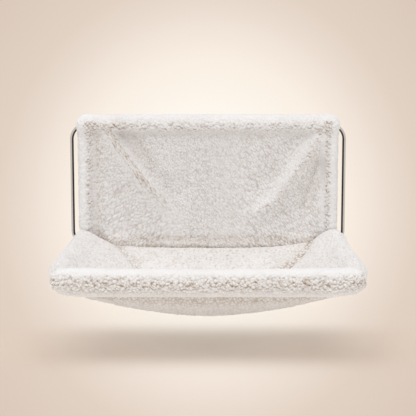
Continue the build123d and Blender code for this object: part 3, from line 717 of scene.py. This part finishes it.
def back_pile(points, up):
    """Height, painted shade and boldness of the pile on the back cover's front: bold on the roll, seams and
    folds.
    """
    x, _, z = points.T
    fine, fine_gap = panel_pile(points)
    large, large_gap = pile(points, LARGE_TUFT, seed=14)
    small, small_gap = pile(points, HEM_TUFT, seed=15)
    lines, left_dip, left_crest = left_marks(points)
    dotted, soft = right_marks(points)
    hem = ramp(np.abs(x), *HEM_PILE_X)
    # The band under the top roll: bold curls with painted shade
    roll = bell(z - TOP_Z + ROLL_DROP, ROLL_WIDTH)
    # Painted shade in the creases beside the hems
    left_seam = bell(x - LEFT_SEAM_X, LEFT_SEAM_WIDTH)
    right_seam = RIGHT_SEAM * bell(x - RIGHT_SEAM_X, RIGHT_SEAM_WIDTH)
    seam = np.where(x < 0, left_seam, right_seam) * (z < TOP_Z + SEAM_END)
    # Painted shadow at the panel's foot
    foot = bell(np.maximum(z - RAIL_Z - FOOT_RISE, 0), FOOT_WIDTH)
    # Painted shade in the left fold's hollow, in the tuck beside the left hem and in the right hollow
    dip = np.maximum(HOLLOW_MARK * left_dip, TUCK_MARK * bell(x - LEFT_TUCK_X, TUCK_MARK_WIDTH))
    dip = np.maximum(dip, HOLLOW_MARK * right_hollow(x, z))
    bold = clamped(roll + seam + np.maximum(CREST_BOLDNESS * left_crest, dotted))
    height = (1 - bold) * ((1 - hem) * fine + hem * small) + bold * mix(CURL_HEIGHTS, large, small)
    # Painted light: the hems and the right fold's soft band keep less painted shade
    plain = ((1 - hem) * fine_gap + hem * small_gap) * (1 - HEM_LOSS * hem) * (1 - SOFT_LOSS * soft)
    curly = mix(CURL_GAPS, large_gap, small_gap) ** CURL_GAP_CURVE
    # Painted shade between the plain tufts, and stronger between the bold curls of the seams and the top
    # roll's band
    gap_shade = PLAIN_DARK * (1 - bold) * plain + bold * (CURL_DARK + seam + ROLL_DARK * roll) * curly
    # Painted shade in dots along the right fold's crest
    dots = MARK_DARK * dotted * mix(DOTTED_GAPS, large_gap, small_gap)
    # Painted shade in the left fold's ragged lines
    gap_shade += dots + MARK_DARK * lines * mix(LINE_GAPS, 1, fine_gap)
    gap_shade += DIP_DARK * dip + FOOT_DARK * foot
    # Painted light: less painted shade on faces that look up and on the hems' outer sides
    gap_shade *= from_above(up, BACK_UP_LOSS) * (1 - HEM_SIDE_LOSS * ramp(np.abs(x), *HEM_SIDE_X))
    return height, gap_shade, bold


def make_back_cover():
    """The back cover, with short plain pile behind and the full pile in front, each with its painted shade.
    """
    low = np.array((-HEM_X - HEM_RADIUS, FRAME_Y, lower_low.z)) - BACK_BELOW
    high = np.array((HEM_X + HEM_RADIUS, FRAME_Y, top_high.z)) + BACK_ABOVE
    points, quads, normals = sampled(back_field, low, high, BACK_STEP)
    grain = smooth_noise(points, BACK_GRAIN, seed=11)
    height = REAR_HEIGHT * grain
    # Painted shade in the low spots of the plain pile behind
    gap_shade = REAR_DARK * clamped(-grain)
    depth = np.full(len(points), REAR_PILE)
    ahead = points[:, 1] < PANEL_REAR
    front = ramp(points[ahead, 1], PANEL_REAR, FRAME_Y)
    pile_height, pile_gap_shade, bold = back_pile(points[ahead], normals[ahead, 2])
    height[ahead] = (pile_height - 0.5) * front + height[ahead] * (1 - front)
    gap_shade[ahead] = pile_gap_shade * front + gap_shade[ahead] * (1 - front)
    depth[ahead] = (PANEL_PILE + BOLD_PILE * bold) * front + REAR_PILE * (1 - front)
    points = points + normals * (depth * height)[:, None]
    piece = mesh_piece("back_cover", points, quads, gap_shade, plush_curly)
    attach(piece, "frame")
    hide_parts("top_roll_cover", "top_roll_core", "left_side_hem", "right_side_hem", "back_panel",
                "lower_hem")


# Seat cover: the sling with its wings, wrapped round both rails

SEAT_STEP = 0.0015
SEAT_REACH = 0.260
SEAT_Z = (-0.282, -0.150)
SEAT_AHEAD, SEAT_BEHIND = 0.020, 0.012
SLING_REAR = -0.0215
SLING_FRONT = ROLL_Y + 0.004
SLING_THICKNESS = 0.013
SPLAY_START, SPLAY_END = -0.078, -0.240
BOWL_Y = (-0.150, -0.230)
BOWL_EASE = 0.006
BOWL_INSET = 0.008
BOWL_BLEND = 0.014
HAMMOCK_CURVE, FULL_CURVE_LOSS = 2.2, 0.45
BOWL_RISE, BOWL_RISE_X, BOWL_RISE_Y = 0.006, 0.1, (-0.022, -0.072)
FULL_SIDE = 0.47          # share of the depth that a full bowl's sides take up
BOTTOM_ROUND = 0.004
BOTTOM_SLACK = 0.001

WING_Y = (-0.060, -0.160)
WING_EDGE = 0.0165        # top of the wings over the rails' centre line
WING_EASE = 0.007
WING_OUTSIDE = -0.02
REAR_SLOPE, REAR_CURVE = 0.2, 3.3
FRONT_SLOPE, FRONT_CURVE = 0.55, 1.0
SHOULDER, SHOULDER_X, SHOULDER_Y, SHOULDER_WIDTH = 0.004, 0.2, -0.036, 0.022
CORNER_INSIDE, CORNER_WIDTH = 0.022, 0.024
CORNER_REAR_Y, CORNER_FRONT_Y = (-0.205, -0.245), (-0.292, -0.272)
CORNER_WRINKLE, CORNER_WRINKLE_LENGTH, CORNER_WRINKLE_LEAN = 0.0019, 0.017, 0.9
WALL_SLOPE, WALL_CURVE = 0.52, 1.6
WALL_EASE = 0.012

CREASE_SHIFT = 0.003
CREASE_ROUND = 0.002
CREASE_Y = (SLING_REAR - 0.006, SLING_REAR - 0.030)
# Where the painted shade in the creases between the wings and the bowl lies
CREASE_MARK_Y = (-0.16, -0.11)
CREASE_MARK_WIDTH = 0.007
CREASE_MARK_DEPTH = 0.006
LEFT_CREASE, LEFT_CREASE_WIDTH = 0.0060, 0.006
RIGHT_CREASE, RIGHT_CREASE_WIDTH = 0.0080, 0.007

SHEET_SLOPE = 0.8
SHEET_LEAN = 0.3
SHEET_SIDE_ROUND = 0.005
SHEET_END_ROUND = 0.008
SLEEVE_BLEND = 0.014
SLEEVE_FRONT = ROLL_Y + 0.032
LEFT_NARROWING, LEFT_NARROWING_Y = 0.0025, (-0.075, -0.045)
RIGHT_WIDENING, RIGHT_WIDENING_Y, RIGHT_WIDENING_LENGTH = 0.0022, -0.090, 0.030
LEFT_HUMP, RIGHT_HUMP, HUMP_LENGTH, HUMP_HEIGHT = 0.0005, 0.003, 0.024, 0.012
SLEEVE_WRINKLE, SLEEVE_WRINKLE_LENGTH, SLEEVE_WRINKLE_LEAN = 0.0005, 0.013, 0.5
WRINKLE_SWAY, WRINKLE_SWAY_RATE = 3, 40
WRINKLE_FRONT, WRINKLE_REAR, WRINKLE_FADE = -0.262, -0.110, 0.03
SLIMMING, SLIMMING_Y = 0.0045, (-0.240, -0.275)

# The seat's pile, and its painted shade: between the tufts, underneath, in the creases, at the rear of the
# bowl and under the front roll
FINE_TUFT, FINE_STROKE = 0.0036, (-0.35, -0.93, 0)
FINE_GAPS, FINE_GAP_CURVE = (0.07, 0.52), 1.3
BELLY_TUFT, BELLY_STROKE = 0.0046, (0, 0.92, -0.38)
BELLY_DARK, BELLY_GAP_CURVE = 0.38, 1.6
# How much a face must look down to count as underneath, how bold its pile gets there, and its painted shade
UNDER_STEEP, UNDER_BOLDNESS, UNDER_DARK = 2, 0.85, 0.13
LEFT_CREASE_MARK, RIGHT_CREASE_MARK, CREASE_GAPS = 0.9, 1.3, (0.14, 0.34)
SEAT_PILE = 0.0013
SEAT_BOLD_PILE = 0.0011
# Painted shade at the rear of the bowl, where the seat meets the back cover
REAR_FLOOR_START, REAR_FLOOR_MIDDLE, REAR_FLOOR_LENGTH = -0.075, 0.055, 0.05
REAR_FLOOR_DARK = 0.10
# The painted shadow on the belly just under the front roll
RECESS_START, RECESS_WIDTH, RECESS_GAPS = 0.026, 0.010, (0.06, 0.24)

# Depth of the sling under the rails from front to rear
SEAT_PLACES = [-0.303, -0.288, -0.274, -0.264, -0.238, -0.200, -0.180, -0.160, -0.140, -0.120, -0.100, -0.082,
               -0.050, -0.0215]
SEAT_DEPTHS = [0.018, 0.021, 0.038, 0.053, 0.0695, 0.0775, 0.0815, 0.0835, 0.0820, 0.0770, 0.0695, 0.0610,
               0.042, 0.023]
# Top of the rear wall over the rails, from left to right
WALL_PLACES = [-0.200, -0.158, -0.135, -0.099, -0.063, 0, 0.063, 0.102, 0.129, 0.156, 0.173, 0.182, 0.205]
WALL_TOPS = [-0.0035, -0.0050, -0.0056, -0.0087, -0.0100, -0.0108, -0.0100, -0.0078, -0.0041, 0.0004, 0.0050,
             0.0077, 0.0130]
# Top of the right wing at the rear over the rails, from the rail inwards
WING_PLACES = [-0.020, 0, 0.012, 0.024, 0.035, 0.050, 0.065, 0.085, 0.110, 0.140, 0.230]
WING_TOPS = [0.0175, 0.0165, 0.0152, 0.0122, 0.0055, -0.0110, -0.0220, -0.0335, -0.0430, -0.0520, -0.0700]


def rail_x(y):
    """The rails' distance from the middle."""
    return REAR_RAIL_X + (FRONT_RAIL_X - REAR_RAIL_X) * ramp(y, SPLAY_START, SPLAY_END)


def hammock(x, y):
    """Height of the underside of a sling that hangs from the rails, with fuller sides towards the front."""
    full = ramp(y, *BOWL_Y)
    depth = eased(y, SEAT_PLACES, SEAT_DEPTHS, BOWL_EASE)
    side = np.maximum(SLEEVE_RADIUS - BOTTOM_SLACK, FULL_SIDE * depth * full)
    share = np.abs(x) / (rail_x(y) - BOWL_INSET)
    return RAIL_Z - side - (depth - side) * (1 - share ** (HAMMOCK_CURVE - FULL_CURVE_LOSS * full))


def wing_top(x, y):
    """Height of the wings, which fall from the rails towards the middle and wrinkle at the front corners."""
    inside = np.maximum(rail_x(y) - np.abs(x), WING_OUTSIDE)
    ahead = ramp(y, *WING_Y)
    rear_left = WING_EDGE - REAR_SLOPE * inside - REAR_CURVE * inside * np.abs(inside)
    rear = np.where(x > 0, eased(inside, WING_PLACES, WING_TOPS, WING_EASE), rear_left)
    front = WING_EDGE - FRONT_SLOPE * inside - FRONT_CURVE * inside * np.abs(inside)
    shoulder = SHOULDER * bell(np.abs(x) - SHOULDER_X, SHOULDER_WIDTH) * bell(y - SHOULDER_Y, SHOULDER_WIDTH)
    wing = RAIL_Z + (1 - ahead) * rear + ahead * front + shoulder
    corner = bell(inside - CORNER_INSIDE, CORNER_WIDTH) * ramp(y, *CORNER_REAR_Y) * ramp(y, *CORNER_FRONT_Y)
    wave = np.cos(2 * math.pi * (y - CORNER_WRINKLE_LEAN * inside) / CORNER_WRINKLE_LENGTH)
    return wing + CORNER_WRINKLE * corner * wave


def bowl_top(x, y):
    """Height of the rear wall and of the bowl's floor in front of it."""
    behind = np.maximum(SLING_REAR - y, 0)
    wall = RAIL_Z + eased(x, WALL_PLACES, WALL_TOPS, WALL_EASE)
    wall = wall - WALL_SLOPE * behind - WALL_CURVE * behind ** 2
    full = ramp(y, *BOWL_Y)
    rise = BOWL_RISE * (x / BOWL_RISE_X) ** 2 * ramp(y, *BOWL_RISE_Y)
    flat = RAIL_Z - np.interp(y, SEAT_PLACES, SEAT_DEPTHS) + rise
    floor = SLING_THICKNESS + (1 - full) * flat + full * hammock(x, y)
    return soft_max(wall, floor, BOWL_BLEND)


def seat_top(x, y):
    """Height of the seat's upper face, with a soft crease on the left and a deep one on the right."""
    wing, bowl = wing_top(x, y), bowl_top(x, y)
    past = wing - bowl + CREASE_SHIFT
    crease = np.where(x > 0, RIGHT_CREASE, LEFT_CREASE)
    crease = crease * bell(past, np.where(x > 0, RIGHT_CREASE_WIDTH, LEFT_CREASE_WIDTH))
    return soft_max(bowl, wing, CREASE_ROUND) - crease * ramp(y, *CREASE_Y)


def seat_bottom(x, y):
    """Height of the seat's underside."""
    top = soft_max(wing_top(x, y), bowl_top(x, y), BOTTOM_ROUND)
    return soft_min(hammock(x, y), top - SLING_THICKNESS + BOTTOM_SLACK, BOTTOM_ROUND)


def seat_field(x, y, z):
    """Field of the seat cover: the sling's sheet between two sleeves."""
    sheet = SHEET_SLOPE * np.maximum(z - seat_top(x, y), seat_bottom(x, y) - z)
    side = np.abs(x) - rail_x(y) + SHEET_LEAN * np.maximum(RAIL_Z - z, 0)
    sheet = soft_max(sheet, side, SHEET_SIDE_ROUND)
    sheet = soft_max(sheet, np.maximum(y - SLING_REAR, SLING_FRONT - y), SHEET_END_ROUND)
    end = SLING_REAR - SLEEVE_RADIUS
    past = np.maximum(np.maximum(y - end, SLEEVE_FRONT - y), 0)
    dx = np.abs(x) - rail_x(y) + LEFT_NARROWING * (x < 0) * ramp(y, *LEFT_NARROWING_Y)
    dx = dx - RIGHT_WIDENING * (x > 0) * bell(y - RIGHT_WIDENING_Y, RIGHT_WIDENING_LENGTH)
    dz = z - RAIL_Z
    hump = np.where(x > 0, RIGHT_HUMP, LEFT_HUMP) * bell(y - end, HUMP_LENGTH) * clamped(dz / HUMP_HEIGHT)
    sway = WRINKLE_SWAY * np.sin(WRINKLE_SWAY_RATE * y)
    leaning = y + SLEEVE_WRINKLE_LEAN * np.abs(dx)
    wave = np.cos(2 * math.pi * leaning / SLEEVE_WRINKLE_LENGTH + sway)
    wrinkled = clamped(np.minimum(y - WRINKLE_FRONT, WRINKLE_REAR - y) / WRINKLE_FADE)
    swell = hump + SLEEVE_WRINKLE * wave * wrinkled - SLIMMING * ramp(y, *SLIMMING_Y) - SKIN_SLACK
    sleeve = np.sqrt(dx * dx + dz * dz + past * past) - SLEEVE_RADIUS - swell
    return soft_min(sheet, sleeve, SLEEVE_BLEND)


def make_seat_cover():
    """The seat cover, with fine pile above and bolder pile in the creases and underneath, and painted shade
    on them.
    """
    low = (-SEAT_REACH, ROLL_Y - SEAT_AHEAD, SEAT_Z[0])
    high = (SEAT_REACH, SLING_REAR + SEAT_BEHIND, SEAT_Z[1])
    points, quads, normals = sampled(seat_field, low, high, SEAT_STEP)
    x, y, z = points.T
    wing, bowl = wing_top(x, y), bowl_top(x, y)
    # Faces that look down: bolder pile and painted shade
    under = clamped(-UNDER_STEEP * normals[:, 2])
    upper = (z > seat_top(x, y) - CREASE_MARK_DEPTH) * (1 - under)
    # Painted shade in the creases between the wings and the bowl
    crease = bell(wing - bowl + CREASE_SHIFT, CREASE_MARK_WIDTH) * upper
    crease = crease * np.where(x > 0, RIGHT_CREASE_MARK, LEFT_CREASE_MARK) * ramp(y, *CREASE_MARK_Y)
    fine, fine_gap = pile(points, FINE_TUFT, seed=22, along=FINE_STROKE, stretch=1.5)
    small, small_gap = tufts(points, BELLY_TUFT, seed=23, along=BELLY_STROKE, stretch=2.4)
    bold = clamped(UNDER_BOLDNESS * under + crease)
    height = (1 - bold) * fine + bold * small
    depth = SEAT_PILE + SEAT_BOLD_PILE * bold
    points = points + normals * (depth * (height - 0.5))[:, None]
    # Painted shade at the rear of the bowl
    rear = bell(np.maximum(y - REAR_FLOOR_START, 0) - REAR_FLOOR_MIDDLE, REAR_FLOOR_LENGTH) * (wing < bowl)
    # Painted shadow on the belly under the front roll
    from_roll = np.hypot(y - ROLL_Y, z - ROLL_Z) - ROLL_RADIUS
    recess_shadow = under * bell(np.maximum(from_roll - RECESS_START, 0), RECESS_WIDTH)
    # Painted shade between the tufts and at the rear of the bowl, then underneath, in the creases and in the
    # recess under the front roll
    gap_shade = (1 - bold) * (mix(FINE_GAPS, 1, fine_gap ** FINE_GAP_CURVE) + REAR_FLOOR_DARK * rear)
    gap_shade = gap_shade + bold * BELLY_DARK * small_gap ** BELLY_GAP_CURVE + UNDER_DARK * under
    gap_shade = gap_shade + crease * mix(CREASE_GAPS, 1, small_gap) + recess_shadow * mix(RECESS_GAPS, 1, small_gap)
    piece = mesh_piece("seat_cover", points, quads, gap_shade, plush_smooth)
    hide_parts("seat_sling", "left_rail_sleeve", "right_rail_sleeve")
    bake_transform(piece)


# Front roll: the thick curly bolster along the front bar

ROLL_STEP = 0.0009
ROLL_BELOW, ROLL_ABOVE = (0.006, 0.005, 0.005), (0.006, 0.005, 0.009)
ROLL_SLACK = 0.0016       # room for the pile inside the CAD roll
ROLL_RISE, ROLL_RISE_X = 0.0022, 0.22
ROLL_TAPER, ROLL_TAPER_X, ROLL_TAPER_DROP = 0.0045, (0.17, 0.23), 0.01
ROLL_END_SLACK = 0.002
ROLL_END_ROUND = 0.026
ROLL_TUFT = 0.0032
ROLL_PILE = 0.0014
CURL_PILE = 0.0036
CURLS_ABOVE, CURLS_BELOW = (0.88, 0.60), (-0.95, -0.53)   # how far a face looks up where the curls begin
# Painted shade between the roll's curls and fine tufts, and how much is taken away, as painted light, on the
# top and underneath
ROLL_GAPS, FINE_ROLL_DARK = (0.95, 0.50), 0.28
ROLL_UP_LOSS, ROLL_UNDER_LOSS, ROLL_UNDER_STEEP = 0.9, 0.5, 1.4


def roll_field(x, y, z):
    """Field of the front roll, which rises and tapers a little towards its ends."""
    rise = ROLL_RISE * (x / ROLL_RISE_X) ** 2 * (z > ROLL_Z)
    taper = ROLL_TAPER * ramp(np.abs(x), *ROLL_TAPER_X) ** 2 * ramp(z, ROLL_Z, ROLL_Z - ROLL_TAPER_DROP)
    around = np.sqrt((y - ROLL_Y) ** 2 + (z - rise - ROLL_Z) ** 2) - ROLL_RADIUS + ROLL_SLACK + taper
    return soft_max(around, np.abs(x) - roll_high.x + ROLL_END_SLACK, ROLL_END_ROUND)


def make_front_roll():
    """The front roll, with bold curls round its front and finer pile on top and underneath, with painted
    shade between them that is weaker, as painted light, on the top and underneath.
    """
    low = np.array(roll_low) - ROLL_BELOW
    high = np.array(roll_high) + ROLL_ABOVE
    points, quads, normals = sampled(roll_field, low, high, ROLL_STEP)
    up = normals[:, 2]
    bold = ramp(up, *CURLS_ABOVE) * ramp(up, *CURLS_BELOW)
    large, large_gap = pile(points, LARGE_TUFT, seed=31)
    small, small_gap = pile(points, ROLL_TUFT, seed=32)
    height = bold * mix(CURL_HEIGHTS, large, small) + (1 - bold) * small
    depth = ROLL_PILE + CURL_PILE * bold
    points = points + normals * (depth * (height - 0.5))[:, None]
    # Painted shade between the curls, less of it, as painted light, on the top and underneath
    gap_shade = bold * mix(ROLL_GAPS, large_gap, small_gap) + (1 - bold) * FINE_ROLL_DARK * small_gap
    gap_shade = gap_shade * (1 - ROLL_UNDER_LOSS * clamped(-ROLL_UNDER_STEEP * up)) * from_above(up, ROLL_UP_LOSS)
    piece = mesh_piece("front_bolster", points, quads, gap_shade, plush_curly)
    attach(piece, "seat")
    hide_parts("front_roll_cover", "front_roll_core")


# Closure behind the top roll

FLAP_CORNER = 0.012
CORNER_STEPS = 8


def make_flap():
    """The flap that closes the top roll: a thin cloth strip with rounded lower corners."""
    outline = [(flap_low.x, flap_high.z), (flap_high.x, flap_high.z)]
    for centre_x, first in ((flap_high.x - FLAP_CORNER, 0), (flap_low.x + FLAP_CORNER, -90)):
        for k in range(CORNER_STEPS + 1):
            angle = math.radians(first - 90 * k / CORNER_STEPS)
            outline.append((centre_x + FLAP_CORNER * math.cos(angle),
                            flap_low.z + FLAP_CORNER * (1 + math.sin(angle))))
    mesh = bpy.data.meshes.new("flap_cloth")
    mesh.from_pydata([(x, flap_high.y, z) for x, z in outline], [], [tuple(range(len(outline)))])
    mesh.materials.append(knit)
    flap = bpy.data.objects.new("flap_cloth", mesh)
    bpy.context.scene.collection.objects.link(flap)
    thick = flap.modifiers.new("thickness", "SOLIDIFY")
    thick.thickness = flap_high.y - flap_low.y
    thick.offset = 1
    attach(flap, "frame")
    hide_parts("closure_flap")


# Camera, light and surroundings

ELEVATION = math.radians(11.5)
DISTANCE = 2.8
LENS = 145.4
TARGET = Vector((0, -0.012, -0.1297))
CAMERA_PLACE = TARGET + DISTANCE * Vector((0, -math.cos(ELEVATION), math.sin(ELEVATION)))
VIEW_AXIS = (TARGET - CAMERA_PLACE).normalized()

# The background's colours from straight ahead outwards
BACKDROP = [(0, (1.0, 0.94, 0.86)), (0.33, (0.991, 0.930, 0.847)), (0.49, (0.956, 0.863, 0.768)),
            (0.61, (0.866, 0.760, 0.672)), (0.683, (0.807, 0.701, 0.610)), (0.76, (0.760, 0.645, 0.552)),
            (1.0, (0.708, 0.591, 0.497))]
BACKDROP_REACH = 0.18
BACKDROP_STRETCH = 1.1

FLOOR_Z = -0.333
FLOOR_Y = -0.16
FLOOR_RADIUS = 2.2
FLOOR_SIDES = 96
FLOOR_FADE = (0.7, 1.9)
FLOOR_BOUNCE = (0.955, 0.91, 0.86, 1)
SHADOW_SHIFT = -0.027
SHADOW_REACH = (0.045, 0.16)
SHADOW_LIFT = (0.08, 0.85)
AMBIENT = (1.0, 0.985, 0.97, 1)
AMBIENT_STRENGTH = 0.675
SUN_STRENGTH = 1.20
SUN_TURN = [math.radians(angle) for angle in (24, -4, 0)]
SUN_SPREAD = math.radians(60)


def make_camera():
    """The photograph's view: a long lens from a little above."""
    data = bpy.data.cameras.new("camera")
    data.lens = LENS
    camera = bpy.data.objects.new("camera", data)
    camera.location = CAMERA_PLACE
    camera.rotation_euler = (math.pi / 2 - ELEVATION, 0, 0)
    bpy.context.scene.collection.objects.link(camera)
    bpy.context.scene.camera = camera


def glow(tree, direction):
    """The pale background's colour for a direction from the camera's place: lightest straight ahead."""
    right = Vector((1, 0, 0))
    squares = []
    for axis, stretch in ((right, BACKDROP_STRETCH), (VIEW_AXIS.cross(right), 1.0)):
        scaled = axis.normalized() * stretch / BACKDROP_REACH
        reach = tree.add("VectorMath", {0: direction, 1: scaled}, operation="DOT_PRODUCT")["Value"]
        squares.append(tree.math("MULTIPLY", reach, reach))
    return tree.ramped(tree.math("SQRT", tree.math("ADD", *squares)), BACKDROP)


def seen(tree):
    """1 for rays from the camera and for those that gloss or glass sends on, and 0 for the others."""
    path = tree.add("LightPath")
    direct = tree.math("ADD", path["Is Camera Ray"], path["Is Glossy Ray"])
    return tree.math("ADD", direct, path["Is Transmission Ray"], use_clamp=True)


def make_world():
    """Even pale light on the bed, with the backdrop's colours for what is seen."""
    world = bpy.data.worlds.new("studio")
    world.use_nodes = True
    bpy.context.scene.world = world
    tree = Tree(world.node_tree)
    ambient = world.node_tree.nodes["Background"]
    tree.feed(ambient, {"Color": AMBIENT, "Strength": AMBIENT_STRENGTH})
    backdrop = tree.add("Background", {"Color": glow(tree, tree.add("TexCoord")["Generated"])})
    either = {"Fac": seen(tree), 1: ambient.outputs["Background"], 2: backdrop["Background"]}
    tree.feed(world.node_tree.nodes["World Output"], {"Surface": tree.add("MixShader", either)["Shader"]})


def floor_paper(name):
    """Pale paper in the backdrop's colours that keeps only a soft shadow, clear far out and from below."""
    material, tree, shader = new_material(name)
    geometry = tree.add("NewGeometry")
    away = tree.add("VectorMath", {0: geometry["Position"], 1: CAMERA_PLACE}, operation="SUBTRACT")
    direction = tree.add("VectorMath", {0: away["Vector"]}, operation="NORMALIZE")["Vector"]
    colour = glow(tree, direction)
    shown = seen(tree)
    bounce = tree.add("Mix", {"Factor": shown, "A": FLOOR_BOUNCE, "B": colour}, data_type="RGBA")
    tree.feed(shader, {"Base Color": bounce["Result"], "Roughness": 1, "Specular IOR Level": 0})
    place = tree.add("TexCoord")["Object"]
    from_bed = tree.math("ADD", tree.add("SeparateXYZ", {"Vector": place})["Y"], SHADOW_SHIFT)
    from_bed = tree.math("ABSOLUTE", from_bed)
    lift = tree.mapped(from_bed, SHADOW_REACH, SHADOW_LIFT, interpolation_type="SMOOTHSTEP")
    own = tree.add("Emission", {"Color": colour})["Emission"]
    lifted = {"Fac": tree.math("MULTIPLY", shown, lift), 1: shader.outputs["BSDF"], 2: own}
    lifted = tree.add("MixShader", lifted)["Shader"]
    reach = tree.add("VectorMath", {0: place}, operation="LENGTH")["Value"]
    fade = tree.mapped(reach, FLOOR_FADE, (0, 1), interpolation_type="SMOOTHSTEP")
    gone = tree.math("MAXIMUM", fade, geometry["Backfacing"])
    mixed = tree.add("MixShader", {"Fac": gone, 1: lifted, 2: tree.add("BsdfTransparent")["BSDF"]})
    tree.feed(material.node_tree.nodes["Material Output"], {"Surface": mixed["Shader"]})
    return material


def make_floor():
    """A round floor under the bed that fades into the backdrop."""
    bpy.ops.mesh.primitive_circle_add(vertices=FLOOR_SIDES, radius=FLOOR_RADIUS, fill_type="NGON",
                                      location=(0, FLOOR_Y, FLOOR_Z))
    floor = bpy.context.object
    floor.name = "floor"
    floor.data.materials.append(floor_paper("floor"))


def make_sun():
    """One broad soft light from above and a little in front."""
    data = bpy.data.lights.new("key", "SUN")
    data.energy = SUN_STRENGTH
    data.angle = SUN_SPREAD
    sun = bpy.data.objects.new("key", data)
    sun.rotation_euler = SUN_TURN
    bpy.context.scene.collection.objects.link(sun)


make_back_cover()
make_seat_cover()
make_front_roll()
make_flap()
make_camera()
make_world()
make_floor()
make_sun()

bpy.context.scene.view_settings.view_transform = "Standard"
